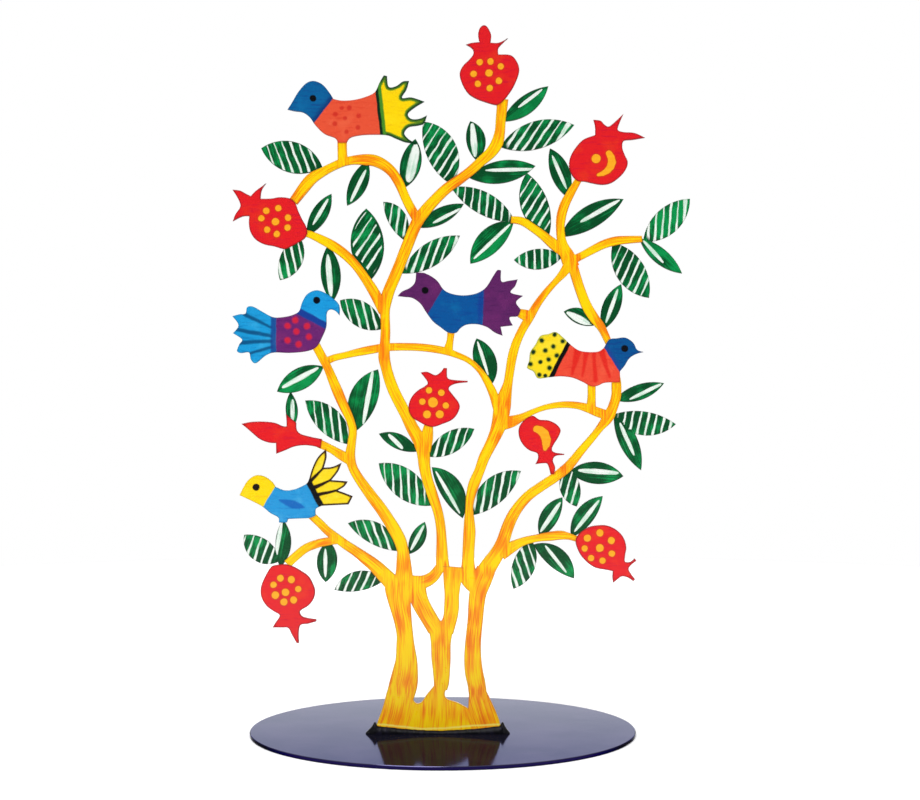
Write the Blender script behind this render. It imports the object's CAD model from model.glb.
# %% [markdown]
# # A painted tree of life in sheet metal
#
# The real thing is one flat tree, cut out of thin steel, painted by hand in glossy enamels over a white
# ground, and welded on edge to a round steel disc. Five birds, seven pomegranates and many leaves sit in
# its branches.
#
# The engineering model already holds every piece at its true size. This lesson turns those plain plates
# into painted metal: it softens the cut edges as thick paint does, sculpts the weld, and builds the
# brushwork out of shader nodes, so that no picture file is needed.

# %% Load the frame
import math
import random

import bmesh
import bpy
import numpy as np
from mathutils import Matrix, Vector


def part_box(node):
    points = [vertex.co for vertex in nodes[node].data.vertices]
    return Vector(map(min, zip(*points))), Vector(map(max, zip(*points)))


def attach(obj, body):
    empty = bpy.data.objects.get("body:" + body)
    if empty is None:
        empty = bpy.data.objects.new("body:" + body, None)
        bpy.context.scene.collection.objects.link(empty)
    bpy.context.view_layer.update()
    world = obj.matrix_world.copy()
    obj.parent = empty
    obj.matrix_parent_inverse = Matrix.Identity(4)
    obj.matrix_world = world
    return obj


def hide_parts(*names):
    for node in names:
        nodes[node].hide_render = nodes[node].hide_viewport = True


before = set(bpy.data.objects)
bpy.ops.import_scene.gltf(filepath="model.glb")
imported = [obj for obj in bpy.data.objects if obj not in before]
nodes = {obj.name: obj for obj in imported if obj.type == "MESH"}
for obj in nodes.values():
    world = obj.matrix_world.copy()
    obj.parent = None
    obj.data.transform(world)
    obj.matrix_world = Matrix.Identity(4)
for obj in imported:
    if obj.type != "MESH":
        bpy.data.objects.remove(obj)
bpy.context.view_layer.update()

# %% [markdown]
# ## Measures of the drawing
#
# The brushwork is described the way a painter would lay it out on paper: millimetres to the right of the
# disc's middle, and millimetres of height. The paper's zero is a millimetre below the table, so one
# number lifts every point. The sheet stands upright, so a point on it is (across, sheet, height).

# %% Measures
MM = 0.001
LIFT = 1.0             # what the drawing's heights are above the frame's, in millimetres
sheet_low, sheet_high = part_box("pomegranate_top")
FRONT, BACK = sheet_low.y, sheet_high.y
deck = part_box("base_disc")[1].z
random.seed(7)
print("sheet from", round(FRONT, 4), "to", round(BACK, 4), "standing on a deck at", round(deck, 4))

# %% [markdown]
# ## Shader maths as plain Python
#
# A material is a tree of small boxes. Wiring them by hand is slow to read, so one class wraps a socket:
# adding or multiplying two of them puts the Math node in for us. Every other node comes from one method,
# which sets the node's own choices first and its sockets after.

# %% A socket that can be reckoned with
class Value:
    """One output in a material's node tree."""

    def __init__(self, paint, socket):
        self.paint, self.socket = paint, socket

    def maths(self, operation, *others, clamp=False):
        sockets = dict(enumerate((self,) + others))
        return self.paint.node("Math", {"operation": operation, "use_clamp": clamp}, sockets)

    def __add__(self, other):
        return self.maths("ADD", other)

    def __mul__(self, other):
        return self.maths("MULTIPLY", other)

    def __sub__(self, other):
        return self.maths("SUBTRACT", other)

    def __rsub__(self, other):
        return self.paint.node("Math", {"operation": "SUBTRACT"}, {0: other, 1: self})

    __radd__, __rmul__ = __add__, __mul__

    def either(self, other):
        return self.maths("MAXIMUM", other)


class Paint:
    """A material, or the world, while it is being mixed."""

    def __init__(self, name, kind=bpy.data.materials):
        self.made = kind.new(name)
        self.made.use_nodes = True
        self.tree = self.made.node_tree
        self.tree.nodes.clear()

    def node(self, kind, settings=None, sockets=None, output=0):
        made = self.tree.nodes.new("ShaderNode" + kind)
        for name, value in (settings or {}).items():
            setattr(made, name, value)
        for name, value in (sockets or {}).items():
            if isinstance(value, Value):
                self.tree.links.new(value.socket, made.inputs[name])
            else:
                made.inputs[name].default_value = value
        return Value(self, made.outputs[output]) if made.outputs else None


print("shader helpers ready")

# %% [markdown]
# ## The painter's tools
#
# Each tool gives a mask, a number from 0 to 1 over the surface: a dot, a straight edge between two
# colours, a stroke of the brush. A slow noise shifts the points first, so that no line is as straight as
# a ruler's.

# %% Colours and mixing
def colour(red, green, blue):
    """A colour as a paint chart gives it (0 to 255), turned into the light values that a shader wants."""
    part = [c / 255 for c in (red, green, blue)]
    return tuple(c / 12.92 if c <= 0.04045 else ((c + 0.055) / 1.055) ** 2.4 for c in part) + (1.0,)


def blend(under, over, mask):
    return mask.paint.node("Mix", {"data_type": "RGBA"}, {0: mask, 6: under, 7: over}, 2)


def below(value, edge, soft=0.14):
    """1 where the value is under the edge, 0 above it, with a soft step between."""
    return value.paint.node("MapRange", {"interpolation_type": "SMOOTHSTEP"}, {
        "Value": value, "From Min": edge - soft, "From Max": edge + soft, "To Min": 1.0, "To Max": 0.0})


def ramp(value, low, high, out_low=0.0, out_high=1.0):
    return value.paint.node("MapRange", {"interpolation_type": "SMOOTHSTEP"}, {
        "Value": value, "From Min": low, "From Max": high, "To Min": out_low, "To Max": out_high})


def noise(where, scale=1.0, detail=2.0, rough=0.5, output=0):
    return where.paint.node("TexNoise", None, {
        "Vector": where, "Scale": scale, "Detail": detail, "Roughness": rough}, output)


print("gold is", [round(c, 3) for c in colour(255, 205, 0)])


# %% Points on the drawing
def three(vector):
    """The three numbers of a vector."""
    outs = vector.paint.node("SeparateXYZ", None, {0: vector}).socket.node.outputs
    return [Value(vector.paint, out) for out in outs]


def mark(paint, name, output="Fac"):
    """A number, or a vector, that was stored on the mesh under that name."""
    return paint.node("Attribute", {"attribute_name": name}, None, output)


def place_of(paint):
    return paint.node("TexCoord", None, None, "Object")


def paper(paint):
    """The point of the drawing, in millimetres, under each point of the surface."""
    millimetres = paint.node("VectorMath", {"operation": "SCALE"}, {0: place_of(paint), "Scale": 1000.0})
    across, _, height = three(millimetres)
    return paint.node("CombineXYZ", None, {0: across, 1: height + LIFT, 2: 0.0})


def hand_drawn(paint, waver=0.4):
    """The drawing's points, moved a little by an unsteady hand."""
    flat = paper(paint)
    shake = noise(flat, 0.22, 2.0, 0.6, 1)
    offset = paint.node("VectorMath", {"operation": "MULTIPLY_ADD"}, {
        0: shake, 1: (2 * waver, 2 * waver, 0), 2: (-waver, -waver, 0)})
    return paint.node("VectorMath", {"operation": "ADD"}, {0: flat, 1: offset})


def turned(where, angle, along, across):
    """The drawing turned so that its first axis lies at an angle, and stretched, for brush streaks."""
    return where.paint.node("Mapping", None, {
        "Vector": where, "Rotation": (0, 0, -math.radians(angle)), "Scale": (along, across, 1)})


# %% Masks
def dot(where, x, height, radius, soft=0.22):
    far = where.paint.node("VectorMath", {"operation": "DISTANCE"}, {0: where, 1: (x, height, 0)}, 1)
    return below(far, radius, soft)


def dots(where, spots, radius, soft=0.22):
    mask = None
    for spot in spots:
        size = spot[2] if len(spot) > 2 else radius
        one = dot(where, spot[0], spot[1], size, soft)
        mask = one if mask is None else mask.either(one)
    return mask


def beside(where, a, b):
    """Distance in millimetres to the left of the line from a to b, less than 0 to the right."""
    run, rise = b[0] - a[0], b[1] - a[1]
    length = math.hypot(run, rise)
    normal = (-rise / length, run / length, 0)
    reach = where.paint.node("VectorMath", {"operation": "DOT_PRODUCT"}, {0: where, 1: normal}, 1)
    return reach - (normal[0] * a[0] + normal[1] * a[1])


def left_of(where, a, b, soft=0.25):
    return ramp(beside(where, a, b), -soft, soft)


def stroke(where, points, width=1.0, soft=0.2):
    """A stroke of the brush from point to point; a third number at a point is the brush's width there."""
    paint, nearest = where.paint, None
    rows = [(*p, width)[:3] for p in points]
    for a, b in zip(rows, rows[1:]):
        run = (b[0] - a[0], b[1] - a[1], 0)
        square = run[0] ** 2 + run[1] ** 2
        from_a = paint.node("VectorMath", {"operation": "SUBTRACT"}, {0: where, 1: (a[0], a[1], 0)})
        share = tuple(r / square for r in run)
        t = paint.node("VectorMath", {"operation": "DOT_PRODUCT"}, {0: from_a, 1: share}, 1)
        t = t.maths("ADD", 0.0, clamp=True)
        foot = paint.node("VectorMath", {"operation": "SCALE"}, {0: run, "Scale": t})
        far = paint.node("VectorMath", {"operation": "DISTANCE"}, {0: from_a, 1: foot}, 1)
        far = far - t * ((b[2] - a[2]) / 2) - a[2] / 2
        nearest = far if nearest is None else nearest.maths("MINIMUM", far)
    return below(nearest, 0.0, soft)


def rim(paint, width, soft=0.3):
    """1 along the free edge of the piece, over that many millimetres."""
    return below(mark(paint, "rim"), width, soft)


print("masks ready: dot, beside, stroke, rim")

# %% [markdown]
# ## The enamel itself
#
# Enamel is a clear, glossy binder with pigment in it. Brushed on by hand it dries with faint ridges along
# the stroke, and it thins and darkens where it runs off the edge of the sheet, so that the cut sides show
# some of the steel's own brown-grey. The Principled shader does the gloss; the ridges are a height that
# goes through a Bump node. Lengths in a Bump node are real, so they are tiny.

# %% Finish a coat of paint
def enamel(paint, tint, ridges, roughness=0.26, relief=0.0001, edge=0.5):
    """Turns a colour and a height for the brush ridges into the finished material."""
    worn = noise(place_of(paint), 260.0, 3.0)
    tint = paint.node("Mix", {"data_type": "RGBA", "blend_type": "MULTIPLY"}, {
        0: rim(paint, 0.35, 0.45) * edge, 6: tint, 7: colour(120, 96, 90)}, 2)
    cut = mark(paint, "cut")
    tint = blend(tint, colour(58, 50, 46), cut * ramp(worn, 0.35, 0.62, 0.3, 0.85))
    height = paint.node("Bump", None, {"Strength": 0.6, "Distance": relief, "Height": ridges})
    surface = paint.node("BsdfPrincipled", None, {
        "Base Color": tint, "Roughness": roughness - 0.07 + worn * 0.14 + cut * 0.15,
        "Specular IOR Level": 0.28,
        "Coat Weight": 0.12, "Coat Roughness": 0.12, "Normal": height})
    paint.node("OutputMaterial", None, {"Surface": surface})
    return paint.made


def brushed(where, tint, shade, light, angle, fine=1.6):
    """A flat colour broken into streaks of a darker shade and a lighter one, laid at an angle."""
    streak = noise(turned(where, angle, 0.07, 0.55), fine, 3.0, 0.6)
    cloud = noise(where, 0.09, 3.0)
    tint = blend(tint, shade, ramp(streak, 0.5, 0.72) * 0.8)
    tint = blend(tint, light, ramp(cloud, 0.52, 0.7) * 0.55)
    return tint, streak


print("enamel ready")

# %% [markdown]
# ## Plates with painted edges
#
# A laser leaves a square edge, and three coats of paint round it off. So each plate is copied, its loose
# triangles are merged, and a narrow bevel goes round its free edges only: where two plates meet edge to
# edge there must be no groove. Then the flat faces are cut into small cells, so that they can carry
# numbers such as how far a point is from the edge, which the paint uses.

# %% The outline of every plate
KINDS = {"leaves": "leaf", "pomegranate": "fruit", "red_bud": "fruit"}
tree_nodes = sorted(n for n in nodes if n not in ("base_disc", "foot_weld"))


def kind_of(name):
    """Which paint a plate takes: its own if it is a bird, else leaf, fruit or bark."""
    if name.endswith("_bird"):
        return name
    return next((kind for start, kind in KINDS.items() if name.startswith(start)), "bark")


def clear_selection():
    if bpy.context.object and bpy.context.object.mode != "OBJECT":
        bpy.ops.object.mode_set(mode="OBJECT")
    bpy.ops.object.select_all(action="DESELECT")


def take_up(piece):
    """Makes a piece the only selected and the active one."""
    clear_selection()
    piece.select_set(True)
    bpy.context.view_layer.objects.active = piece


def clean_copy(name, suffix):
    """A copy of a node's mesh with its triangles joined into whole faces."""
    piece = bpy.data.objects.new(name + suffix, nodes[name].data.copy())
    bpy.context.scene.collection.objects.link(piece)
    piece.data.materials.clear()
    take_up(piece)
    bpy.ops.mesh.customdata_custom_splitnormals_clear()
    bpy.ops.object.mode_set(mode="EDIT")
    bpy.ops.mesh.select_all(action="SELECT")
    bpy.ops.mesh.remove_doubles(threshold=0.0001)
    bpy.ops.mesh.dissolve_limited(angle_limit=math.radians(0.5))
    bpy.ops.object.mode_set(mode="OBJECT")
    return piece


def flat_mm(point):
    return point.x / MM, point.z / MM + LIFT


def edge_of_plate(edge):
    """True for an edge between a plate's front or back and its cut side."""
    caps = [abs(face.normal.y) > 0.9 for face in edge.link_faces]
    return len(caps) == 2 and caps[0] != caps[1]


plates, outlines = {}, {}
for name in tree_nodes:
    plate = clean_copy(name, "_painted")
    shape = bmesh.new()
    shape.from_mesh(plate.data)
    shape.normal_update()
    outlines[name] = np.array([
        [flat_mm(e.verts[0].co), flat_mm(e.verts[1].co)] for e in shape.edges
        if edge_of_plate(e) and e.verts[0].co.y < FRONT + 0.5 * MM])
    shape.free()
    plates[name] = plate
print(len(plates), "plates,", sum(len(o) for o in outlines.values()), "outline edges")


# %% Distances on the drawing
def to_segments(points, segments):
    """For each point, the distance to the nearest of the segments."""
    a, run = segments[:, 0], segments[:, 1] - segments[:, 0]
    square = (run ** 2).sum(1) + 1e-12
    best = np.full(len(points), 1e9)
    for start in range(0, len(points), 2000):
        part = points[start:start + 2000]
        t = np.clip(((part[:, None] - a) * run).sum(2) / square, 0, 1)
        gap = np.linalg.norm(part[:, None] - (a + t[..., None] * run), axis=2)
        best[start:start + 2000] = gap.min(1)
    return best


def neighbours(name, same_kind):
    """The outline edges of the plates that may touch this one."""
    low, high = outlines[name].min((0, 1)) - 1, outlines[name].max((0, 1)) + 1
    near = [o for other, o in outlines.items() if other != name
            and (not same_kind or kind_of(other) == kind_of(name))
            and (o.min((0, 1)) < high).all() and (o.max((0, 1)) > low).all()]
    return np.concatenate(near) if near else np.zeros((0, 2, 2))


def touching(points, segments, gap=0.06):
    return to_segments(points, segments) < gap if len(segments) else np.zeros(len(points), bool)


free_edges = {}
for name, outline in outlines.items():
    middle = outline.mean(1)
    kept = outline[~touching(middle, neighbours(name, True))]
    free_edges[name] = kept if len(kept) else outline
print("free edges found, such as", len(free_edges["left_limb"]), "of", len(outlines["left_limb"]),
    "on left_limb")

# %% Round the free edges and cut the faces into cells
CELL = {"leaf": 1.2, "fruit": 1.3, "bark": 1.2}
BIRD_CELL = 0.8
EDGE_ROUND = 0.32


def front_area(mesh):
    return sum(face.area for face in mesh.polygons if face.normal.y < -0.99)


def rounded(name, plate, width):
    """A copy of the plate with its free edges bevelled by that width, or None if the bevel folds over."""
    trial = bpy.data.objects.new(name + "_trial", plate.data.copy())
    bpy.context.scene.collection.objects.link(trial)
    take_up(trial)
    bpy.ops.object.mode_set(mode="EDIT")
    bpy.ops.mesh.select_mode(type="EDGE")
    bpy.ops.mesh.select_all(action="DESELECT")
    shape = bmesh.from_edit_mesh(trial.data)
    rims = [e for e in shape.edges if edge_of_plate(e)]
    middles = np.array([flat_mm((e.verts[0].co + e.verts[1].co) / 2) for e in rims])
    joined = touching(middles, neighbours(name, False))
    length = 0.0
    for edge, hidden in zip(rims, joined):
        chosen = not hidden and min(edge.verts[0].co.z, edge.verts[1].co.z) > deck + 0.2 * MM
        edge.select_set(bool(chosen))
        length += edge.calc_length() / 2 if chosen else 0.0
    bmesh.update_edit_mesh(trial.data)
    bpy.ops.mesh.bevel(offset=width, segments=2, affect="EDGES", clamp_overlap=False)
    bpy.ops.mesh.select_all(action="SELECT")
    bpy.ops.mesh.quads_convert_to_tris(quad_method="BEAUTY", ngon_method="BEAUTY")
    bpy.ops.object.mode_set(mode="OBJECT")
    lost = front_area(plate.data) - front_area(trial.data)
    uses = np.bincount([loop.edge_index for loop in trial.data.loops])
    good = (uses == 2).all() and 0.6 * length * width < lost < 1.3 * length * width
    mesh = trial.data
    bpy.data.objects.remove(trial)
    return mesh if good else None


def round_edges(name, plate):
    """Rounds the edges as widely as the plate's own small corners let it."""
    for width in (EDGE_ROUND, 0.22, 0.15, 0.1, 0.06):
        mesh = rounded(name, plate, width * MM)
        if mesh:
            plate.data = mesh
            return width
    return 0.0


def cut_cells(plate, cell):
    """Cuts the plate along a grid of upright and level planes."""
    shape = bmesh.new()
    shape.from_mesh(plate.data)
    places = np.array([v.co[:] for v in shape.verts])
    for axis in (0, 2):
        normal = Vector((1, 0, 0)) if axis == 0 else Vector((0, 0, 1))
        low, high = places[:, axis].min(), places[:, axis].max()
        for k in range(int(low / cell) + 1, int(math.floor(high / cell)) + 1):
            everything = shape.verts[:] + shape.edges[:] + shape.faces[:]
            bmesh.ops.bisect_plane(shape, geom=everything, dist=1e-7, plane_co=normal * (k * cell),
                plane_no=normal)
    shape.to_mesh(plate.data)
    shape.free()


def shade(plate):
    """Flat faces stay flat, and the rounded edges and cut sides run smooth."""
    take_up(plate)
    bpy.ops.object.shade_smooth_by_angle(angle=math.radians(40))
    for face in plate.data.polygons:
        if abs(face.normal.y) > 0.999:
            face.use_smooth = False


for name, plate in plates.items():
    width = round_edges(name, plate)
    if width < EDGE_ROUND:
        print(name, "is rounded by", width, "mm only")
    cut_cells(plate, CELL.get(kind_of(name), BIRD_CELL) * MM)
    shade(plate)
print(sum(len(p.data.polygons) for p in plates.values()), "faces on the plates")

# %% Mark the cut sides
for plate in plates.values():
    cut = plate.data.attributes.new("cut", "FLOAT", "FACE")
    cut.data.foreach_set("value", [float(abs(face.normal.y) < 0.3) for face in plate.data.polygons])
print("cut sides marked, with", sum(abs(f.normal.y) < 0.3 for f in plates["left_limb"].data.polygons),
    "on left_limb")

# %% Mark how far each point is from a free edge
def drawn_points(plate):
    places = np.zeros(len(plate.data.vertices) * 3)
    plate.data.vertices.foreach_get("co", places)
    places = places.reshape(-1, 3) / MM
    return np.stack([places[:, 0], places[:, 2] + LIFT], 1)


for name, plate in plates.items():
    from_rim = to_segments(drawn_points(plate), free_edges[name])
    plate.data.attributes.new("rim", "FLOAT", "POINT").data.foreach_set("value",
        from_rim.astype(np.float32))
    if kind_of(name) == "bark":
        outline = outlines[name]
        seams = outline[touching(outline.mean(1), neighbours(name, True))]
        far = to_segments(drawn_points(plate), seams) if len(seams) else np.full(len(plate.data.vertices),
            99.0)
        plate.data.attributes.new("seam", "FLOAT", "POINT").data.foreach_set("value",
            far.astype(np.float32))
print("rim and seam distances marked")

# %% [markdown]
# ## Bark: gold with orange streaks
#
# The trunk and branches are golden yellow, and the painter drew orange and ochre streaks along them while
# the yellow was wet. The streaks have to follow each branch round its bends. So each branch gets a middle
# line, and every point of it learns two numbers: how far along the line it is, and how far to the side.

# %% Middle lines of the branches
LIMBS = {
    "root_foot": [[(-27, 3), (-24, 12), (-21.8, 25)], [(-2, 3), (-1, 14), (-1, 27)],
    [(25, 3), (21, 14), (18.3, 24)]],
    "left_stem": [[(-21.8, 23), (-19.3, 35), (-19.2, 48), (-20.3, 60), (-22.3, 72), (-22, 85)]],
    "centre_stem": [
        [(-1.1, 26), (-0.6, 36), (-0.9, 50), (-0.8, 61)], [(-3.5, 57), (-8, 64.5), (-13, 76), (-13, 82)],
        [(1.5, 56), (4.6, 68), (5, 81), (5.6, 90)], [(-16, 81.3), (-10, 81.6), (-5, 84.3), (-1, 90)]],
    "right_stem": [[(18.3, 23), (16.2, 35), (15.7, 49), (17, 63), (18.3, 76), (22.5, 88)]],
    "left_limb": [[
        (-20, 82), (-20.2, 93), (-22, 103), (-28.2, 114), (-36, 125), (-43.5, 135.5), (-47.8, 147),
        (-46.4, 160),
        (-51, 172.5), (-56.7, 186), (-62, 197.5), (-65.5, 204)]],
    "middle_limb": [[
        (0, 86), (-0.4, 99), (-1.1, 111), (-4, 123), (-8, 135), (-9.8, 147), (-13.2, 157), (-18.9, 168),
        (-25, 180), (-29, 192), (-29.8, 205), (-29.5, 216)], [(-9.3, 149), (-8.2, 156), (-7.2, 163)]],
    "upper_limb": [[
        (-29.5, 215), (-29, 228), (-24.6, 239.5), (-19.8, 251.5), (-15.2, 263), (-8.5, 274), (2, 284.8),
        (14, 293.6), (25, 303.5), (29.6, 314.5), (31, 331)]],
    "inner_limb": [[
        (17.6, 78.5), (13.2, 90), (13.6, 102), (13.8, 114), (14.5, 126), (19, 139), (24.8, 152.5),
        (29.7, 165),
        (30.5, 170)]],
    "inner_upper_limb": [
        [(30.2, 168), (32.2, 178), (34.8, 191), (38, 205), (45, 218.5), (53.6, 231.5), (62.5, 241.5),
        (66, 247)],
        [(39, 221), (46.5, 218.5)]],
    "right_limb": [[(18.5, 78), (24, 90), (31, 102), (36, 115.3), (44.5, 126.3), (57.5, 135.3),
    (63.3, 139.8)]],
    "right_bow": [[(61, 138), (68.3, 145.3), (77, 155.8), (85.3, 166.5), (89.7, 178), (89.5, 189)]],
    "low_left_branch": [
        [(-24, 79), (-34.5, 89.5), (-45, 97.5), (-55, 104.5), (-63.5, 112), (-68.5, 116.6)],
        [(-53, 103.4), (-66, 101), (-80.4, 90.8)]],
    "bud_twig": [[(-47.5, 144.5), (-57.5, 150.3), (-64, 153.3)]],
    "left_bough": [[(-60.3, 195.6), (-50, 198.9), (-30, 203)]],
    "cross_bough": [
        [(-30, 203), (-10, 202.8), (8, 198.7), (19, 191.2), (26.3, 178.5), (28.6, 171)],
        [(2.6, 200.5), (4.5, 212)]],
    "arch_bough": [[
        (-13, 269), (-18.6, 279), (-23.2, 289), (-30, 296.8), (-40, 299.7), (-53, 297.8), (-63, 292.8),
        (-71, 286),
        (-77, 278)], [(-51.2, 298), (-51.8, 310)]],
    "lower_arch": [[(-72, 262), (-62, 258.3), (-50, 250.5), (-40.3, 239), (-33.3, 227.5), (-30.5, 221)]],
    "arc_bough": [
        [(31, 163.5), (41, 166.8), (52, 171.6), (64, 173.3), (75.5, 171.3), (86, 167.5)],
        [(76.6, 170), (77, 184.5)]],
    "fruit_twig": [[(30, 96), (42, 102.7), (56, 105.3), (66, 105), (71, 103.2)]],
    "crown_limb": [[(66.8, 244), (62, 256), (61.2, 270), (66, 282.3), (71, 291)]],
    "left_twig": [[(63, 251.6), (52, 260.6), (41, 268), (35.3, 268.8)]],
    "right_twig": [[(65, 247), (77, 253), (89, 257.8), (103, 258.8)]],
    "drop_limb": [[(66.6, 247.4), (71.3, 232), (78.3, 218), (86, 205)]]}


def smooth_line(rows, steps=6):
    """The smooth curve through the points, as many short straight pieces."""
    p = np.array([rows[0], *rows, rows[-1]], float)
    made = []
    for i in range(1, len(p) - 2):
        for t in np.arange(steps) / steps:
            made.append(0.5 * (2 * p[i] + (p[i + 1] - p[i - 1]) * t
                               + (2 * p[i - 1] - 5 * p[i] + 4 * p[i + 1] - p[i + 2]) * t * t
                               + (3 * p[i] - p[i - 1] - 3 * p[i + 1] + p[i + 2]) * t ** 3))
    return np.array(made + [p[-1]])


def along_and_across(points, curve):
    """How far along a curve each point is, how far to its left, and its distance from it."""
    a, run = curve[:-1], curve[1:] - curve[:-1]
    length = np.linalg.norm(run, axis=1)
    start = np.concatenate([[0], np.cumsum(length)[:-1]])
    rel = points[:, None] - a
    t = np.clip((rel * run).sum(2) / length ** 2, 0, 1)
    gap = np.linalg.norm(rel - t[..., None] * run, axis=2)
    best = gap.argmin(1)
    row = np.arange(len(points))
    side = np.sign(run[best, 0] * rel[row, best, 1] - run[best, 1] * rel[row, best, 0])
    return start[best] + t[row, best] * length[best], side * gap[row, best], gap[row, best]


def run_on(curve, by=14.0):
    """The curve with a straight run added at both ends."""
    first, last = curve[0] - curve[1], curve[-1] - curve[-2]
    return np.vstack([curve[0] + first / np.linalg.norm(first) * by, curve,
                      curve[-1] + last / np.linalg.norm(last) * by])


def corners_of(mesh):
    """The vertex of every corner, and the face of every corner."""
    vertex = np.zeros(len(mesh.loops), int)
    mesh.loops.foreach_get("vertex_index", vertex)
    total = np.zeros(len(mesh.polygons), int)
    mesh.polygons.foreach_get("loop_total", total)
    return vertex, np.repeat(np.arange(len(total)), total)


def face_middles(mesh, points):
    vertex, face = corners_of(mesh)
    count = np.bincount(face, minlength=len(mesh.polygons))
    return np.stack([np.bincount(face, points[vertex, k], len(count)) / count for k in (0, 1)], 1)


for name, strokes in LIMBS.items():
    mesh = plates[name].data
    points = drawn_points(plates[name])
    vertex, face = corners_of(mesh)
    middles = face_middles(mesh, points)
    curves = [smooth_line(rows) for rows in strokes]
    owner = np.array([along_and_across(middles, c)[2] for c in curves]).argmin(0)
    if len(curves) > 1:
        near, next_near = np.sort([along_and_across(points, c)[2] for c in curves], axis=0)[:2]
        seam = np.zeros(len(points), np.float32)
        mesh.attributes["seam"].data.foreach_get("value", seam)
        seam = np.minimum(seam, (next_near - near) * 0.9)
        mesh.attributes["seam"].data.foreach_set("value", seam.astype(np.float32))
    grain = np.zeros((len(vertex), 3), np.float32)
    for k, curve in enumerate(curves):
        along, across, _ = along_and_across(points[vertex], run_on(curve))
        mine = owner[face] == k
        grain[mine] = np.stack([along + 70 * k + 13 * len(name), across, np.zeros(len(along))], 1)[mine]
    mesh.attributes.new("grain", "FLOAT_VECTOR", "CORNER").data.foreach_set("vector", grain.ravel())
print("grain follows", len(LIMBS), "limbs")

# %% Warm places, where the orange gathers
WARM = [
    (-25, 12, 6), (-8, 14, 4), (8, 12, 5), (22, 10, 4), (-24, 60, 6), (-14, 68, 7), (1, 70, 5), (5, 86, 7),
    (-20, 90, 6),
    (18, 26, 7), (16, 38, 7), (16, 50, 7), (17, 64, 6), (-1, 52, 5), (2, 62, 6), (-18, 30, 5), (20, 78, 7),
    (20, 86, 6), (-8, 84, 4), (-62, 106, 6), (-46, 96, 4), (33, 100, 7),
    (36, 110, 5), (62, 140, 6), (84, 166, 8), (-50, 146, 6), (-10, 150, 7), (31, 172, 9), (-60, 192, 5),
    (-30, 200, 8), (-29, 228, 7), (-14, 270, 8), (-24, 292, 6), (-40, 300, 7), (8, 290, 8), (31, 313, 6),
    (65, 247, 9),
    (48, 226, 5), (82, 214, 6), (-76, 280, 4), (36, 164, 6), (20, 192, 4), (-52, 178, 5), (28, 156, 4)]

for name in LIMBS:
    points = drawn_points(plates[name])
    warm = np.zeros(len(points))
    for x, height, reach in WARM:
        far = np.hypot(points[:, 0] - x, points[:, 1] - height)
        warm = np.maximum(warm, np.clip(1.3 - far / reach, 0, 1))
    plates[name].data.attributes.new("warm", "FLOAT", "POINT").data.foreach_set("value",
        warm.astype(np.float32))
print(len(WARM), "warm places marked")

# %% Mix the bark paint
SAG = [(-35.5, 8.1), (-24.6, 7.2), (-10.4, 5.5), (1.2, 5.9), (15.4, 7.2), (31.5, 8.1)]


def bark_paint():
    paint = Paint("bark_gold")
    grain = mark(paint, "grain", "Vector")
    warm = mark(paint, "warm")
    seam = below(mark(paint, "seam"), 2.6, 2.4)
    where = hand_drawn(paint, 0.3)

    def streaks(along, across, detail):
        """Streaks that follow the branch, and turn upright where two branches are welded in one."""
        own = noise(paint.node("Mapping", None, {"Vector": grain, "Scale": (along, across, 1)}), 1.0,
            detail, 0.6)
        shared = noise(paint.node("Mapping", None, {"Vector": where, "Scale": (across, along, 1)}), 1.0,
            detail, 0.6)
        return own + seam * (shared - own)

    fine_streak = streaks(0.05, 1.9, 3.0)
    broad_streak = streaks(0.03, 0.27, 2.0)
    gold, amber = colour(255, 212, 0), colour(254, 190, 2)
    orange, rust = colour(252, 152, 8), colour(240, 106, 10)
    amount = (broad_streak - 0.5) * 1.4 + (fine_streak - 0.5) * 1.6 + warm * 0.17
    tint = blend(gold, amber, ramp(amount, -0.1, 0.04))
    tint = blend(tint, orange, ramp(amount, 0.02, 0.2) * 0.9)
    tint = blend(tint, rust, ramp(amount, 0.16, 0.42) * 0.8)
    tint = blend(tint, colour(214, 132, 6), rim(paint, 0.4, 0.45) * 0.55)
    tint = blend(tint, colour(255, 240, 110), stroke(where, SAG, 0.9, 0.35) * 0.8)
    return enamel(paint, tint, fine_streak, 0.3, edge=0.25)


bark = bark_paint()
for name in LIMBS:
    plates[name].data.materials.append(bark)
print("bark painted:", bark.name)

# %% [markdown]
# ## Leaves: bars and slits of bare white
#
# The leaves are of two sorts. One has dark green bars with thin gaps of the white ground between them.
# The other is all green but for one slit of white beside its midrib. Each leaf leans its own way, so the
# pattern can't be laid on the whole sheet at once: every leaf carries its own small coordinates, which
# one paint reads.

# %% The leaves, as the engineering model has them, with their markings
def bars(lean, edge=0.0, tone=0.3, gap=4.0):
    """Slanting bars; lean is their angle on the drawing, edge the dark border's width."""
    return {"lean": lean, "edge": edge, "tone": tone, "gap": gap, "lobe": 0.0}


def slit(x1, z1, x2, z2, width=1.9, tone=0.25, lobe=0.0, edge=0.0):
    """One white slit from a point to a point; lobe makes one side of the leaf brighter."""
    return {"line": ((x1, z1), (x2, z2)), "width": width, "tone": tone, "lobe": lobe, "edge": edge}


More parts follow.
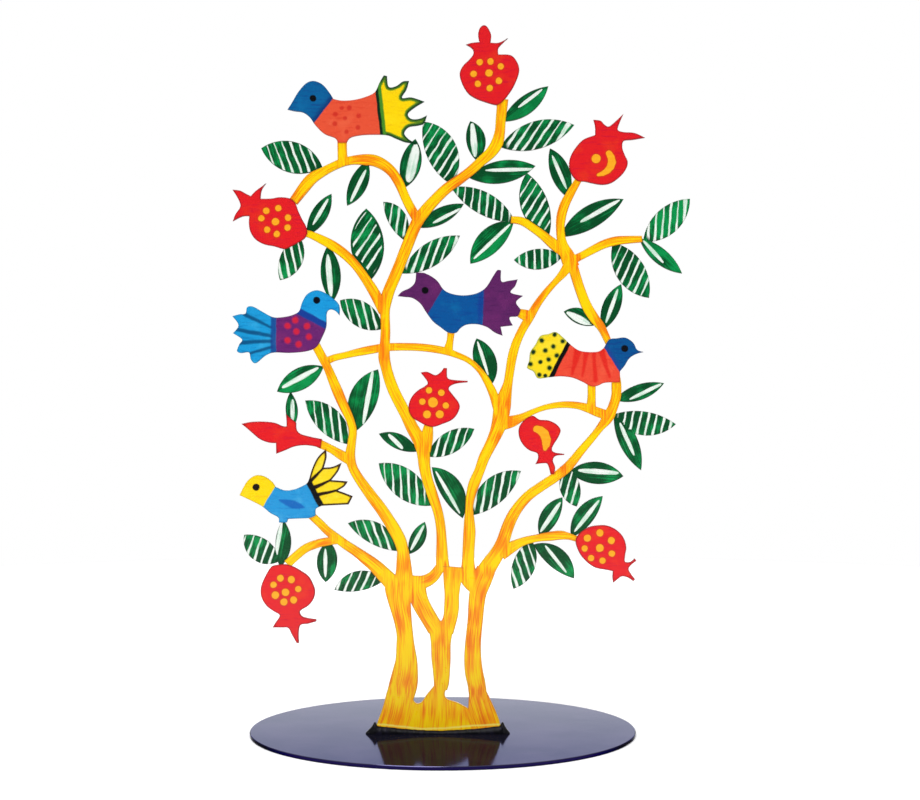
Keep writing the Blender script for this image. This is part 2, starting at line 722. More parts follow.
SPRIGS = {
    "leaves_low_branch": [
        (-30, 82.5, -56, 77.5, 3, 7.4, bars(66)), (-59, 103, -60.5, 81.5, 5.3, 5.3,
        slit(-60.6, 99, -60.6, 84))],
    "leaves_low_fruit": [
        (-84, 89, -82.6, 114, 3.2, 5, slit(-87.5, 90, -83, 113, 2.2)),
        (-84, 92.5, -102.6, 106, 7.6, 4.6, bars(72))],
    "leaves_left_stem": [
        (-22.5, 97.5, -49, 112, 3.5, 7.8, bars(110, tone=0.4)),
        (-17.3, 96, -9.2, 112.7, 3.4, 4.4, slit(-16.5, 98, -9.6, 111))],
    "leaves_middle_low": [
        (-6, 121, -33, 143, 7.2, 7.8, bars(93, tone=0.5)),
        (10.4, 114.5, -5.6, 141, 3.2, 8.6, slit(9, 117, -3.6, 139))],
    "leaves_inner": [
        (15, 116, 40.5, 139, 8.5, 5, bars(80)), (26, 184.4, 17.5, 207.6, 5.6, 6,
        slit(23.6, 188.5, 18, 206, 1.7))],
    "leaves_middle_high": [
        (-13, 149, -33, 158.3, 3.3, 4.6, slit(-20.5, 150.5, -28, 158, 2.2)),
        (-8, 146.5, 16.5, 160.8, 5.8, 5.4, bars(72))],
    "leaves_bud": [
        (-61.5, 193, -85.6, 180, 5.6, 5.8, slit(-83, 182, -64, 192.5, 2.6, 0.35, 0.6)),
        (-78.6, 180, -77.6, 161, 3.3, 3, slit(-77.5, 176, -77.5, 165, 2.2, 0.4))],
    "leaves_left_limb": [
        (-47.6, 152.6, -71, 175.5, 5.6, 7.8, bars(97)),
        (-45, 159.4, -33.3, 191.6, 9.3, 5.3, slit(-41, 163, -36, 191, 2.4, 0.4))],
    "leaves_fruit_twig": [
        (64.5, 141, 69.3, 120.6, 4.2, 6.4, bars(74)),
        (65.5, 138.6, 93.5, 136.3, 6.4, 5.2, slit(70, 139.4, 91, 138, 2.6)),
        (66.5, 104.5, 82.8, 126, 6.2, 3.6, slit(68, 107.5, 81, 124, 2.1)),
        (50.5, 104.5, 62, 125.4, 5.8, 3.6, slit(50.5, 107.5, 61, 123, 2.3))],
    "leaves_right_low": [
        (46, 103.4, 36.6, 78, 6.8, 5, bars(108)), (47, 101, 68, 83.4, 7.6, 3,
        slit(53, 100.5, 64, 86.5, 1.8))],
    "leaves_right_bow": [
        (88.6, 169.5, 102.6, 139.3, 5.2, 4.4, slit(91.5, 164, 99, 147, 2.1)),
        (87.5, 168, 120.6, 163.2, 4.2, 8.2, bars(78)),
        (88.6, 175.6, 114.5, 184.4, 3.8, 4.4, slit(96.5, 176, 113, 184, 1.9))],
    "leaves_drop": [
        (82.8, 211.8, 92.2, 235.6, 5, 4.3, slit(84.3, 215.5, 90.5, 233, 1.9)),
        (88, 257, 106.6, 228.4, 7, 8, bars(66)),
        (79, 214.3, 62.6, 221.4, 3, 5.2, slit(77, 214, 64, 221, 3.4, 0.35, edge=0.5))],
    "leaves_right_twig": [
        (101.5, 259.4, 123.7, 241, 3.8, 4.3, slit(103.5, 258, 114, 246.5, 1.9, 0.4, 0.5)),
        (103.5, 257.5, 127.7, 279.6, 6.2, 7.4, bars(86, tone=0.75, gap=3.6))],
    "leaves_crown_limb": [
        (64.8, 280, 55.4, 305.6, 4.3, 5.8, slit(64, 284.5, 56.5, 302, 1.9)),
        (60.6, 259.8, 93.5, 279.4, 6.8, 5, slit(71, 267.5, 91.5, 279, 2.3))],
    "leaves_left_twig": [
        (62, 250, 36.8, 248, 6, 4.8, bars(92)), (55, 260.5, 43.4, 293, 9, 5.4,
        bars(58, edge=0.4, tone=0.4)),
        (36.8, 268, 14.3, 246, 5, 7.8, slit(16, 248.5, 35, 266.5, 1.9, 0.35, 0.6)),
        (37.6, 267.4, 4.4, 285.5, 5, 6.6, bars(84, tone=0.25))],
    "leaves_upper_limb": [
        (-13.4, 264.8, 11, 277, 4, 4.4, slit(-5, 267, 9.5, 274.5, 1.8)),
        (-21, 241, 9, 260.6, 6.2, 6, bars(70)),
        (-19.6, 258, -30.6, 278, 2.8, 7, bars(82))],
    "leaves_top_limb": [
        (13.2, 290.6, 48, 296.5, 5.8, 6, slit(22, 294.2, 47, 294.8, 1.9)),
        (17.3, 299.5, 14.3, 319.6, 3.6, 6.5, slit(16.8, 301, 15.3, 318.5, 3.2)),
        (4.6, 286.8, -10, 319.4, 5.6, 10.6, bars(58, tone=0.35))],
    "leaves_top": [
        (30.5, 319.4, 54.6, 337.6, 4, 5.5, slit(39, 326.5, 51.5, 336, 1.7, 0.3, -0.5)),
        (29.6, 306.2, 68, 317.6, 7.8, 6.6, bars(56, tone=0.35))],
    "leaves_arch": [
        (-62, 296, -93.6, 305.6, 7.8, 8.2, bars(110, edge=0.3, tone=0.4)),
        (-38.6, 299.4, -49.3, 276, 5.3, 4, slit(-39.5, 294.5, -47.5, 278, 1.9)),
        (-20, 285, -14, 310.5, 4.8, 6, slit(-17.6, 288, -13.2, 308, 5.0, 0.4, edge=0.7))],
    "leaves_lower_arch": [
        (-59.3, 255.6, -57, 226, 5.6, 4.8, slit(-59.3, 251, -57.6, 229, 3.0)),
        (-74, 260.5, -84, 237.6, 7, 4.8, bars(102, tone=0.5)),
        (-70, 260.6, -57.3, 282.2, 4.2, 4.3, slit(-67, 266, -59, 279.5, 1.8))],
    "leaves_shoulder": [
        (-37, 237.6, -39.4, 274.6, 9.3, 8, bars(56, edge=1.2, gap=4.2)),
        (-31, 212.4, -53, 227.2, 6.4, 6.6, bars(104))]}
print(sum(len(s) for s in SPRIGS.values()), "leaves on", len(SPRIGS), "sprigs")


# %% Give every leaf its own coordinates
def leaf_shares(points, leaf):
    """Where each point lies in a leaf: its share of the length, and from -1 to 1 its share of the width."""
    stem, tip = np.array(leaf[0:2], float), np.array(leaf[2:4], float)
    length = np.linalg.norm(tip - stem)
    along = (tip - stem) / length
    rel = points - stem
    u = rel @ along
    v = rel @ np.array([-along[1], along[0]])
    half_width = np.zeros(len(points))
    for sign, swell in ((1, leaf[4]), (-1, leaf[5])):
        half = 2 * math.atan(2 * swell / length)
        radius = length / 2 / math.sin(half)
        reach = np.sqrt(np.maximum(radius ** 2 - (u - length / 2) ** 2, 0)) - radius * math.cos(half)
        half_width = np.where(np.sign(v) == sign, reach, half_width)
    return u / length, v / np.maximum(half_width, 0.3)


def marking_places(points, leaf):
    """The pattern's own coordinates: across the bars and along them, or along the slit and across it."""
    marking = leaf[6]
    if "lean" in marking:
        lean = math.radians(marking["lean"])
        rel = points - (np.array(leaf[0:2]) + np.array(leaf[2:4])) / 2
        across, along = (math.sin(lean), -math.cos(lean)), (math.cos(lean), math.sin(lean))
        return rel @ np.array(across) / marking["gap"], rel @ np.array(along)
    (x1, z1), (x2, z2) = marking["line"]
    run = np.array([x2 - x1, z2 - z1])
    length = np.linalg.norm(run)
    rel = points - np.array([x1, z1])
    return rel @ run / length ** 2, (rel @ np.array([-run[1], run[0]])) / length / (marking["width"] / 2)


for name, leaves in SPRIGS.items():
    mesh = plates[name].data
    points = drawn_points(plates[name])
    vertex, face = corners_of(mesh)
    middles = face_middles(mesh, points)
    misfit = []
    for leaf in leaves:
        u, w = leaf_shares(middles, leaf)
        misfit.append(np.maximum(np.abs(w), 1 + np.maximum(-u, u - 1) * 8) + np.maximum(-u, 0) * 9)
    owner = np.array(misfit).argmin(0)
    blade, traits = np.zeros((len(vertex), 3), np.float32), np.zeros((len(middles), 3), np.float32)
    lobes, reach = np.zeros(len(middles), np.float32), np.zeros(len(vertex), np.float32)
    for k, leaf in enumerate(leaves):
        first, second = marking_places(points[vertex], leaf)
        length_share, share = leaf_shares(points[vertex], leaf)
        mine = owner[face] == k
        reach[mine] = length_share[mine]
        blade[mine] = np.stack([first, second, share], 1)[mine]
        traits[owner == k] = (0.0 if "lean" in leaf[6] else 1.0, leaf[6]["edge"], leaf[6]["tone"])
        lobes[owner == k] = leaf[6]["lobe"]
    mesh.attributes.new("blade", "FLOAT_VECTOR", "CORNER").data.foreach_set("vector", blade.ravel())
    mesh.attributes.new("traits", "FLOAT_VECTOR", "FACE").data.foreach_set("vector", traits.ravel())
    mesh.attributes.new("lobe", "FLOAT", "FACE").data.foreach_set("value", lobes)
    mesh.attributes.new("reach", "FLOAT", "CORNER").data.foreach_set("value", reach)
print("leaf coordinates stored")

# %% Mix the leaf paint
def leaf_paint():
    paint = Paint("leaf_green")
    first, second, share = three(mark(paint, "blade", "Vector"))
    is_slit, border, tone = three(mark(paint, "traits", "Vector"))
    lobe = mark(paint, "lobe")
    unsteady = noise(paper(paint), 0.16, 2.0) - 0.5
    # bars: a white gap in the middle of every unit, wider at one end than at the other
    phase = first + unsteady * 0.3
    from_gap = (phase.maths("FRACT") - 0.5).maths("ABSOLUTE")
    own = paint.node("TexWhiteNoise", {"noise_dimensions": "1D"}, {"W": phase.maths("FLOOR")})
    wedge = (own - 0.45) * second * 0.022
    gap = below(from_gap, (own * 0.05 + wedge + 0.11).maths("MAXIMUM", 0.06), 0.05)
    reach = mark(paint, "reach")
    gap = gap * ramp(reach, 0.07, 0.13) * ramp(reach, 0.985, 0.94)
    # slit: thin at both ends
    swell = (first * (1 - first) * 4).maths("MAXIMUM", 0.0).maths("POWER", 0.42)
    white_slit = below(second.maths("ABSOLUTE") + unsteady * 0.5, swell, 0.16)
    white_slit = white_slit * below((first - 0.5).maths("ABSOLUTE"), 0.5, 0.02)
    mask = gap * (1 - is_slit) + white_slit * is_slit
    edge = mark(paint, "rim")
    mask = mask * ramp(edge - border, -0.12, 0.2)
    # green: brushed along the bar, or along the blade
    run = paint.node("CombineXYZ", None, {
        0: first * (4 - is_slit * 3.4), 1: second * (0.12 + is_slit * 1.1), 2: lobe})
    streak = noise(run, 1.3, 3.0, 0.6)
    side = ramp(share * (lobe.maths("SIGN")), -0.1, 0.1) * lobe.maths("ABSOLUTE")
    cloud = noise(paper(paint), 0.11, 2.0)
    light = (streak - 0.5) * 1.2 + (cloud - 0.5) * 1.3 + (reach - 0.55) * 0.3 + (tone - 0.3) * 0.55
    light = ramp(light, -0.12, 0.4)
    light = (light + side).maths("MINIMUM", 1.0)
    green = blend(colour(0, 72, 34), colour(6, 146, 74), light)
    green = blend(green, colour(0, 42, 22), rim(paint, 0.45, 0.45) * 0.5)
    white = blend(colour(238, 244, 236), colour(176, 216, 190), ramp(cloud + streak, 0.92, 1.25) * 0.75)
    tint = blend(green, white, mask)
    return enamel(paint, tint, streak + mask * -0.6, 0.28, edge=0.3)


leaf_green = leaf_paint()
for name in SPRIGS:
    plates[name].data.materials.append(leaf_green)
print("leaves painted")

# %% [markdown]
# ## Pomegranates
#
# The fruit is a bright red over which the painter dotted the seeds in orange-yellow, each with a darker
# ring where the wet colours met. Two fruits have a curved mark in place of dots.

# %% The seeds of every fruit
SEED_RADIUS = 1.6      # millimetres, where a seed's third number gives no other
SEEDS = {
    "pomegranate_top": [
        (19.2, 349.8), (24.7, 350.3), (30, 347.8), (16, 343.8), (24, 344.3, 1.9), (29, 340.3),
        (18.2, 338.7),
        (24.3, 336.5)],
    "pomegranate_left": [
        (-91, 273.3), (-84.8, 274.7), (-93.5, 269.5), (-79.7, 269.7), (-86.2, 267.7, 1.9), (-80, 264.7),
        (-90.5, 263.5),
        (-85.5, 261.3)],
    "pomegranate_centre": [
        (-7, 180.7), (-0.7, 179.5), (-10.5, 174.8), (-5, 174.5, 2.5), (1.7, 172.8), (-8, 168.3, 2.0),
        (-1.5, 168.4, 2.0)],
    "pomegranate_lower_right": [
        (81.3, 107, 1.8), (74.8, 104.3, 1.8), (87.2, 103, 1.8), (73.5, 99), (81.3, 99.2, 2.0), (87.5, 96.3),
        (76.7, 94),
        (82.7, 92.7)],
    "pomegranate_lower_left": [
        (-83.8, 83.6, 1.7), (-78.2, 82.8, 1.8), (-87.4, 80.2), (-74.6, 78), (-81.2, 76.3, 1.9),
        (-86.5, 74.8, 1.9),
        (-82, 71.3, 1.8), (-77, 72.3, 1.8)],
    "pomegranate_upper_right": [(79.2, 300.2, 2.3)],
    "pomegranate_inner_right": [], "red_bud": []}
CURVES = {
    "pomegranate_upper_right": [
        (85.8, 302.8, 3.2), (87, 300.8, 3.7), (87.4, 298.4, 4), (86.6, 296, 3.8), (85, 294, 3.2),
        (82.8, 292.6, 2.4),
        (80.2, 291.8, 1.4)],
    "pomegranate_inner_right": [
        (48.6, 160.8, 3.4), (50.6, 160, 4.2), (52.6, 158, 4.6), (53.6, 155.4, 4.6), (53.5, 153, 3.8),
        (53, 150.6, 2)]}


def fruit_paint(name):
    paint = Paint(name + "_red")
    where = hand_drawn(paint, 0.35)
    red, crimson, scarlet = colour(226, 30, 36), colour(204, 18, 50), colour(232, 54, 30)
    tint, streak = brushed(where, red, crimson, scarlet, random.uniform(20, 160))
    masks = []
    if SEEDS[name]:
        sized = [(*seed, SEED_RADIUS)[:3] for seed in SEEDS[name]]
        rings = [(x, z, radius + 0.45) for x, z, radius in sized]
        masks.append((dots(where, sized, SEED_RADIUS), dots(where, rings, SEED_RADIUS, 0.5)))
    if name in CURVES:
        rings = [(x, z, width + 1.0) for x, z, width in CURVES[name]]
        masks.append((stroke(where, CURVES[name]), stroke(where, rings, soft=0.5)))
    for seed, ring in masks:
        tint = blend(tint, colour(196, 62, 14), ring * 0.75)
        tint = blend(tint, blend(colour(250, 150, 22), colour(250, 190, 44), streak), seed)
        streak = streak + seed * 0.7
    tint = blend(tint, colour(128, 16, 26), rim(paint, 0.5, 0.5) * 0.5)
    return enamel(paint, tint, streak, 0.24)


for name in SEEDS:
    plates[name].data.materials.append(fruit_paint(name))
print(len(SEEDS), "fruits painted")

# %% [markdown]
# ## Birds
#
# Every bird is painted in its own colours, and all in the same order: the ground colour of the body, the
# head and the tail up to a line, a dark band where they meet, then dots or stripes, and the eye last of
# all.

# %% The coral bird
def coral_bird():
    paint = Paint("bird_coral")
    where = hand_drawn(paint)
    body, streak = brushed(where, colour(232, 84, 54), colour(220, 64, 42), colour(238, 104, 70), 8)
    spots = [(-52, 326.3), (-48, 326.3, 1.3), (-55.3, 323, 1.3), (-50.3, 321), (-43.3, 322.3, 1.3),
        (-55.6, 318.3, 1.3),
             (-43.6, 316.3, 1.2), (-49.5, 314)]
    body = blend(body, colour(206, 44, 34), dots(where, spots, 1.1, 0.5) * 0.8)
    neck = beside(where, (-66.3, 318.6), (-56.4, 331.4))
    head, _ = brushed(where, colour(6, 94, 152), colour(16, 60, 130), colour(14, 112, 168), 60)
    head = blend(head, colour(14, 36, 100), below(neck, 2.0, 1.6) * 0.7)
    tint = blend(body, head, ramp(neck, -0.25, 0.25))
    tail = beside(where, (-34.7, 335.5), (-32.0, 311))
    yellow, _ = brushed(where, colour(252, 214, 6), colour(240, 190, 10), colour(255, 222, 20), 85)
    edge = mark(paint, "rim")
    green = blend(colour(16, 66, 34), colour(104, 150, 30), ramp(edge, 0.3, 1.9))
    yellow = blend(yellow, green, below(edge + (streak - 0.5) * 0.8, 1.75, 0.4))
    yellow = blend(yellow, colour(70, 140, 40), below(tail, 3.2, 0.4))
    yellow = blend(yellow, colour(8, 40, 24), below(tail, 1.5, 0.4))
    tint = blend(tint, yellow, ramp(tail, -0.2, 0.2))
    tint = blend(tint, colour(6, 8, 14), dot(where, -66.8, 331.3, 1.75, 0.3))
    return enamel(paint, tint, streak)


# %% The violet bird
def violet_bird():
    paint = Paint("bird_violet")
    where = hand_drawn(paint)
    body, streak = brushed(where, colour(104, 36, 108), colour(80, 26, 94), colour(132, 44, 106), 10)
    spots = [(-76, 217), (-80, 214), (-70, 213.8), (-75.5, 211), (-80, 206.5), (-74.3, 204.5), (-69, 208.3)]
    body = blend(body, colour(212, 34, 52), dots(where, spots, 1.65, 0.7) * 0.85)
    collar = beside(where, (-60, 215.3), (-73.8, 222.6))
    head, _ = brushed(where, colour(24, 150, 214), colour(14, 120, 190), colour(60, 172, 224), 40)
    tint = blend(body, head, below(collar, 0.0, 0.3))
    tint = blend(tint, colour(22, 60, 146), below((collar - 1.2).maths("ABSOLUTE"), 1.7, 0.5))
    tail = beside(where, (-86.0, 195), (-86.0, 226)) - 1.2
    cyan, _ = brushed(where, colour(26, 152, 212), colour(12, 116, 176), colour(60, 176, 226), 15)
    grooves = [
        [(-102, 219.8, 2.0), (-95, 216.4, 1.7), (-88.6, 213.2, 1.2)],
        [(-106, 212.1, 2.0), (-97, 210.4, 2.1), (-88.6, 208.8, 1.6)],
        [(-104.5, 205.3, 2.2), (-97, 205.8, 1.9), (-88.6, 206, 1.8)],
        [(-99.5, 199.6, 1.4), (-94, 201.4, 1.6), (-88.3, 203, 1.5)]]
    for groove in grooves:
        cyan = blend(cyan, colour(6, 66, 112), stroke(where, groove, soft=0.6) * 0.85)
    cyan = blend(cyan, colour(24, 56, 134), below(tail.maths("ABSOLUTE"), 1.5, 0.6) * 0.85)
    tint = blend(tint, cyan, ramp(tail, -1.5, -1.0))
    tint = blend(tint, colour(4, 6, 20), dot(where, -65, 227.2, 1.85, 0.35))
    return enamel(paint, tint, streak)


# %% The blue bird
def blue_bird():
    paint = Paint("bird_blue")
    where = hand_drawn(paint)
    body, streak = brushed(where, colour(6, 82, 150), colour(10, 60, 136), colour(8, 110, 166), 85)
    violet, _ = brushed(where, colour(92, 34, 94), colour(74, 26, 84), colour(110, 40, 104), 60)
    head = left_of(where, (-9.2, 217.5), (0.6, 234.2))
    tint = blend(body, violet, head)
    tint = blend(tint, violet, left_of(where, (21.6, 245), (20.4, 205)))
    shadow = stroke(where, [(20.4, 236, 2), (19.6, 225, 3), (19.2, 214, 2)], soft=1.0)
    tint = blend(tint, colour(22, 50, 140), shadow * 0.6)
    tint = blend(tint, colour(5, 5, 12), dot(where, -9, 232.3, 1.75, 0.3))
    return enamel(paint, tint, streak)


# %% The red bird
def red_bird():
    paint = Paint("bird_red")
    where = hand_drawn(paint)
    body, streak = brushed(where, colour(234, 74, 52), colour(222, 56, 42), colour(240, 96, 66), 84)
    pleats = [
        [(70, 202, 4.2), (68.4, 195, 2.6), (66.8, 189, 1.2)],
        [(74.4, 201.4, 3), (73.2, 194, 1.8), (72.2, 188, 1)],
        [(78.2, 201.4, 2), (78.4, 194, 1.8), (79, 186, 2.4)],
        [(82.2, 201, 3.4), (84, 194.4, 2.4), (86.4, 187.6, 1.2)]]
    for pleat in pleats:
        body = blend(body, colour(222, 32, 26), stroke(where, pleat, soft=0.6) * 0.85)
    head, _ = brushed(where, colour(4, 80, 142), colour(16, 50, 124), colour(8, 98, 156), 50)
    neck = beside(where, (82.9, 203.6), (91.7, 189.6))
    head = blend(head, colour(46, 44, 140), below(neck, 1.6, 1.4) * 0.5)
    tint = blend(body, head, ramp(neck, -0.25, 0.25))
    tail = beside(where, (66.4, 207.5), (55.5, 186.5))
    spots = [(57.8, 209.5, 1.3), (51.2, 206.5), (62, 206), (57.2, 203.3), (53, 201.3), (46.8, 200.5),
        (59, 198.7), (54.8, 196.7),
             (50.5, 195.2, 1.3), (45.3, 194.3), (55.2, 192.3), (50, 188.7, 1.3), (53, 188.3, 1.0)]
    yellow, _ = brushed(where, colour(250, 216, 28), colour(238, 200, 20), colour(252, 226, 60), 60)
    yellow = blend(yellow, colour(206, 206, 60), rim(paint, 1.0, 0.9) * 0.8)
    yellow = blend(yellow, colour(96, 130, 30), dots(where, spots, 1.5, 0.5) * 0.7)
    yellow = blend(yellow, colour(12, 46, 22), dots(where, [(x, z, 1.0) for x, z, *_ in spots], 1.0, 0.35))
    tint = blend(tint, yellow, ramp(tail, 0.2, -0.2))
    tint = blend(tint, colour(8, 8, 10), below(tail.maths("ABSOLUTE"), 1.15, 0.3))
    tint = blend(tint, colour(6, 8, 18), dot(where, 94, 202.3, 1.85, 0.35))
    return enamel(paint, tint, streak)


# %% The sky-blue bird
def sky_bird():
    paint = Paint("bird_sky")
    where = hand_drawn(paint)
    body, streak = brushed(where, colour(40, 150, 212), colour(24, 124, 196), colour(78, 176, 224), 10)
    body = blend(body, colour(18, 92, 178), stroke(where, [
        (-84.2, 123.9, 0.8), (-80.5, 122.7, 3.2), (-77, 121.6, 4.2), (-74, 120.9, 3), (-71.8, 120.3, 0.8)],
        soft=0.6) * 0.85)
    head, _ = brushed(where, colour(250, 214, 10), colour(240, 190, 10), colour(252, 224, 40), 60)
    tint = blend(body, head, left_of(where, (-93.6, 119.5), (-85.9, 131.8), 0.3))
    tail = beside(where, (-62.2, 119.6), (-70.2, 135))
    feather, _ = brushed(where, colour(248, 216, 30), colour(236, 196, 20), colour(252, 228, 70), 45)
    edge = mark(paint, "rim")
    feather = blend(feather, colour(58, 30, 10), below(edge, 0.95, 0.4))
    for a, b in (((-68.6, 133.4, 2), (-61.2, 141.2, 1)), ((-66.8, 130.2, 2.2), (-57.2, 134.6, 1)),
                 ((-65.2, 126.6, 2.2), (-53.6, 129.2, 1))):
        feather = blend(feather, colour(36, 16, 6), stroke(where, [a, b], soft=0.35))
    tint = blend(tint, feather, ramp(tail, 0.2, -0.2))
    tint = blend(tint, colour(10, 10, 12), below((tail + 0.2).maths("ABSOLUTE"), 1.5, 0.4))
    tint = blend(tint, colour(20, 10, 6), dot(where, -96.3, 130.7, 1.85, 0.3))
    return enamel(paint, tint, streak)


for name, recipe in (("coral_bird", coral_bird), ("violet_bird", violet_bird), ("blue_bird", blue_bird),
                     ("red_bird", red_bird), ("sky_bird", sky_bird)):
    plates[name].data.materials.append(recipe())
    print(name, "painted with", len(plates[name].data.materials[0].node_tree.nodes), "nodes")

# %% Hand the plates over to the frame
for name, plate in plates.items():
    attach(plate, "root")
    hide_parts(name)
print(len(plates), "painted plates stand for their nodes")

# %% [markdown]
# ## The disc
#
# The stand is a thin steel disc under a clear navy-violet enamel. Light goes through the colour, is
# thrown back by the bare metal, and comes out tinted: the pale room looks slate violet in it, and the
# gold foot looks brown. A metal with a coloured edge tint does just that. Sprayed enamel is never dead
# flat, so it gets a faint orange peel.

# %% Spray the disc
def disc_paint():
    paint = Paint("disc_enamel")
    place = place_of(paint)
    peel = noise(place, 420.0, 2.0)
    wave = noise(place, 28.0, 2.0)
    dust = noise(place, 900.0, 2.0)
    height_of = three(place)[2]
    top = ramp(height_of, deck - 0.4 * MM, deck - 0.1 * MM)
    tint = blend(colour(86, 84, 114), colour(96, 92, 122), ramp(wave, 0.35, 0.7))
    tint = blend(colour(26, 20, 66), tint, top)
    height = paint.node("Bump", None, {"Strength": 0.35, "Distance": 0.00005,
        "Height": peel * 0.5 + wave * 1.5})
    surface = paint.node("BsdfPrincipled", None, {
        "Base Color": tint, "Metallic": 0.92, "Specular IOR Level": 0.05,
        "Specular Tint": (0.205, 0.212, 0.222, 1),
        "Roughness": 0.08 + ramp(dust, 0.5, 0.75) * 0.06 + ramp(wave, 0.3, 0.8) * 0.03, "Normal": height})
    paint.node("OutputMaterial", None, {"Surface": surface})
    return paint.made


disc = clean_copy("base_disc", "_enamelled")
take_up(disc)
bpy.ops.object.shade_smooth_by_angle(angle=math.radians(30))
disc.data.materials.append(disc_paint())
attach(disc, "root")
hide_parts("base_disc")
print("disc of", len(disc.data.polygons), "faces")

# %% [markdown]
# ## The weld
#
# A bead of weld metal holds the foot to the disc on both faces. A hand-laid bead is a row of overlapping
# puddles, a little different in size, and it is heaped up where the welder stopped at each end. So it is
# built the same way: one flattened ball for each puddle, then all of them are fused by a voxel remesh and
# smoothed.

# %% Lay the bead
foot_low, foot_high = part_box("foot_weld")
bead_y = (foot_low.y + foot_high.y) / 2
half_foot = 33.0 * MM
foot_middle = -2.0 * MM
clear_selection()
bpy.ops.mesh.primitive_uv_sphere_add(segments=24, ring_count=16, radius=1, location=(0, 0, 0))
drop = bpy.context.object
puddles = []


def puddle(x, y, wide, deep, rise):
    """A copy of the drop, with its half-sizes across, through and up from the deck."""
    copy = bpy.data.objects.new("puddle", drop.data.copy())
    bpy.context.scene.collection.objects.link(copy)
    copy.location, copy.scale = (x, y, deck), (wide, deep, rise)
    puddles.append(copy)


BEAD_DROPS, MOUND_DROPS = 46, 6
MOUND_REACH = {-1: 3.4, 1: 2.4}     # how far past the foot each end mound runs, in millimetres
for k in range(BEAD_DROPS):
    share = 2 * k / (BEAD_DROPS - 1) - 1
    rise = 1.9 + 2.7 * abs(share) ** 1.6 + random.uniform(-0.12, 0.12)
    deep = 2.7 + 0.7 * abs(share) ** 2 + random.uniform(-0.12, 0.12)
    puddle(foot_middle + share * half_foot, bead_y, 2.2 * MM, deep * MM, rise * MM)
for side, reach in MOUND_REACH.items():
    for k in range(MOUND_DROPS):
        share = k / (MOUND_DROPS - 1)
        puddle(foot_middle + side * (half_foot + reach * share * MM),
            bead_y + random.uniform(-0.4, 0.4) * MM,
               1.6 * MM, (2.8 - 0.9 * share) * MM, (6.2 - 4.7 * share ** 0.8) * MM)
bpy.data.objects.remove(drop)
clear_selection()
for one in puddles:
    one.select_set(True)
bpy.context.view_layer.objects.active = puddles[0]
bpy.ops.object.join()
bead = bpy.context.object
bead.name = "weld_bead"
bpy.ops.object.transform_apply(location=True, rotation=True, scale=True)
fuse = bead.modifiers.new("fuse", "REMESH")
fuse.mode, fuse.voxel_size = "VOXEL", 0.4 * MM
bpy.ops.object.modifier_apply(modifier=fuse.name)
calm = bead.modifiers.new("calm", "SMOOTH")
calm.factor, calm.iterations = 0.5, 7
bpy.ops.object.modifier_apply(modifier=calm.name)
bpy.ops.object.mode_set(mode="EDIT")
bpy.ops.mesh.select_all(action="SELECT")
bpy.ops.mesh.bisect(plane_co=(0, 0, deck - 0.05 * MM), plane_no=(0, 0, 1), clear_inner=True, use_fill=True)
bpy.ops.mesh.select_all(action="SELECT")
bpy.ops.mesh.normals_make_consistent(inside=False)
bpy.ops.object.mode_set(mode="OBJECT")
bpy.ops.object.shade_smooth_by_angle(angle=math.radians(60))
print("bead of", len(bead.data.polygons), "faces")


# %% Paint the bead
def weld_paint():
    paint = Paint("weld_black")
    place = place_of(paint)
    grit = noise(place, 1400.0, 3.0)
    lump = noise(place, 300.0, 2.0)
    tint = blend(colour(6, 6, 10), colour(18, 16, 30), ramp(lump, 0.45, 0.75))
    height = paint.node("Bump", None, {"Strength": 0.5, "Distance": 0.0002, "Height": grit * 0.4 + lump})
    surface = paint.node("BsdfPrincipled", None, {
        "Base Color": tint, "Roughness": 0.26 + grit * 0.2, "Specular IOR Level": 0.12, "Normal": height})
    paint.node("OutputMaterial", None, {"Surface": surface})
    return paint.made


bead.data.materials.clear()
bead.data.materials.append(weld_paint())
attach(bead, "root")
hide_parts("foot_weld")

# %% [markdown]
# ## Floor, light and camera
#
# The stage is a plain white floor under a soft sky, with one broad sun from the upper left so that the
# paint has a little shape. Glossy colours look washed out when they mirror a white wall, so the room is
# dim behind the camera, and a bright screen low at the far side is what the disc mirrors. The camera
# stands a metre off, a little above the middle of the branches, with a long lens, so that the upright
# sheet keeps its true outline.

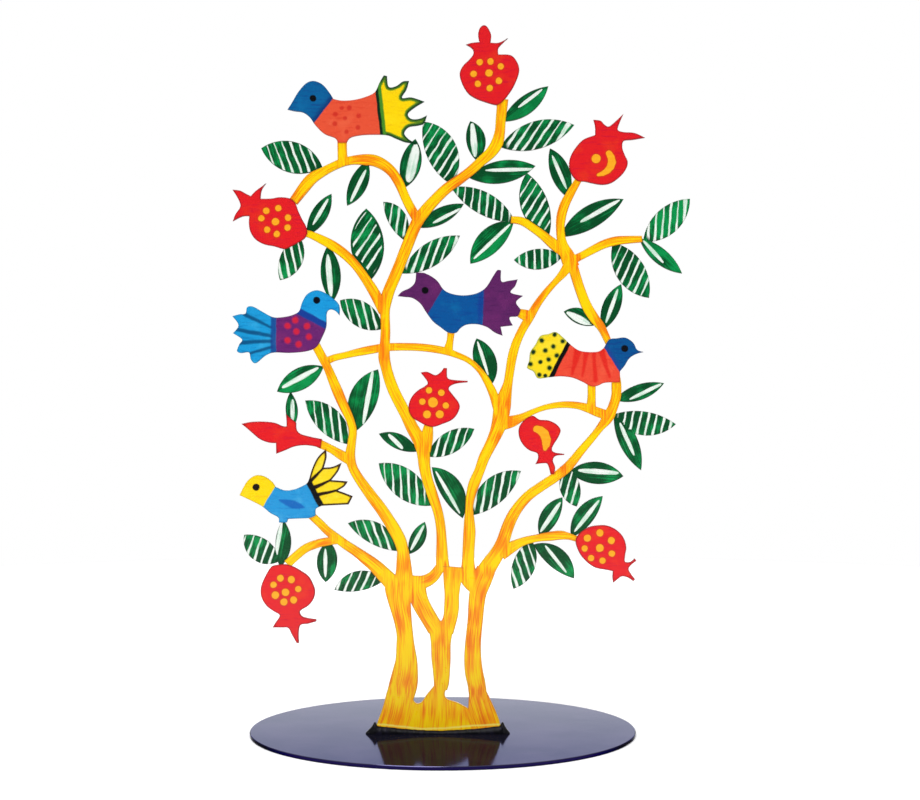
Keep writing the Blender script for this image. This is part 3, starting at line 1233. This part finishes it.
# %% Stage
clear_selection()
bpy.ops.mesh.primitive_circle_add(vertices=96, radius=1.0, fill_type="NGON", location=(0, 0, 0))
floor = bpy.context.object
floor.name = "floor"
paint = Paint("floor_white")
chalk = noise(place_of(paint), 3.0, 3.0)
paint.node("OutputMaterial", None, {"Surface": paint.node("BsdfPrincipled", None, {
    "Base Color": blend(colour(248, 248, 248), colour(251, 251, 251), chalk), "Roughness": 0.9,
    "Specular IOR Level": 0.1, "Emission Color": (1, 1, 1, 1), "Emission Strength": 0.12})})
floor.data.materials.append(paint.made)

studio = Paint("studio", bpy.data.worlds)
bpy.context.scene.world = studio.made
_, away, up = three(place_of(studio))
dim = ramp(away, -0.62, -0.88) * ramp(up.maths("ABSOLUTE"), 0.5, 0.36)
screen = ramp(away, 0.78, 0.92) * ramp(up, 0.03, 0.09) * ramp(up, 0.36, 0.28)
soft = studio.node("Background", None, {"Color": (0.97, 0.98, 1.0, 1),
    "Strength": 0.62 - dim * 0.55 + screen * 3.7})
plain = studio.node("Background", None, {"Color": (1, 1, 1, 1), "Strength": 1.0})
seen = studio.node("LightPath", None, None, "Is Camera Ray")
studio.node("OutputWorld", None, {0: studio.node("MixShader", None, {0: seen, 1: soft, 2: plain})})


def sun_light(name, energy, spread, height, round_to):
    """A sun that stands at a height above the horizon and is turned round from the front, all in degrees."""
    data = bpy.data.lights.new(name, "SUN")
    data.energy, data.angle = energy, math.radians(spread)
    light = bpy.data.objects.new(name, data)
    bpy.context.scene.collection.objects.link(light)
    light.rotation_euler = (math.radians(90 - height), 0, math.radians(round_to))


sun_light("broad_sun", 2.0, 48, 56, -28)
sun_light("side_fill", 0.5, 30, 20, 52)
print("floor, sky and two lights")

# %% Camera
CAMERA_AT = (9, -1015, 185)     # millimetres
LOOKS_DOWN = 0.59               # degrees
camera_data = bpy.data.cameras.new("camera")
camera_data.lens, camera_data.sensor_width = 75.7, 36
camera_data.clip_start, camera_data.clip_end = 0.05, 100
camera = bpy.data.objects.new("camera", camera_data)
bpy.context.scene.collection.objects.link(camera)
camera.location = [v * MM for v in CAMERA_AT]
camera.rotation_euler = (math.radians(90 - LOOKS_DOWN), 0, 0)
bpy.context.scene.camera = camera
bpy.context.scene.view_settings.view_transform = "Standard"
print("camera with a", camera_data.lens, "mm lens")
